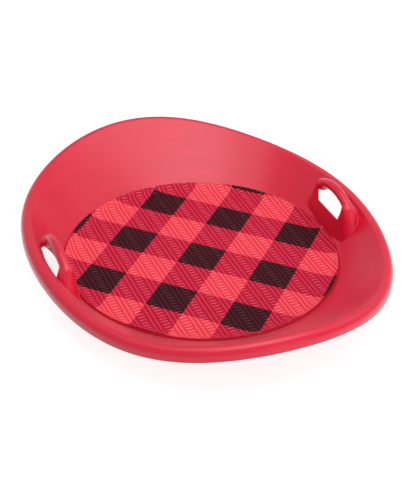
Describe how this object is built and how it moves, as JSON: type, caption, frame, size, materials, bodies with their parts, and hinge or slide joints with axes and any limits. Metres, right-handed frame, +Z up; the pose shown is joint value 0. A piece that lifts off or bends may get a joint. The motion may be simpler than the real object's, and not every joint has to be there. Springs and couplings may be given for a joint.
{
  "type": "saucer sled",
  "caption": "Oval moulded saucer sled with a rolled rim, raised ends, arch handles at the sides and a round checked foam pad on its floor.",
  "frame": {"origin": "middle of the flat underside, on the ground", "axes": "+Y along the sled's length, +X to the right handle, +Z up out of the bowl"},
  "size_m": [0.5822, 0.7076, 0.0963],
  "materials": {
    "shell_plastic": "satin red polyethylene",
    "pad_glue": "pressure-sensitive adhesive film",
    "pad_foam": "closed-cell foam, cut edge",
    "pad_print": "embossed, printed red and black buffalo check"
  },
  "bodies": {
    "root": {"saucer_shell": "shell_plastic", "pad_glue_layer": "pad_glue", "pad_foam_disc": "pad_foam", "pad_printed_skin": "pad_print"}
  },
  "joints": []
}
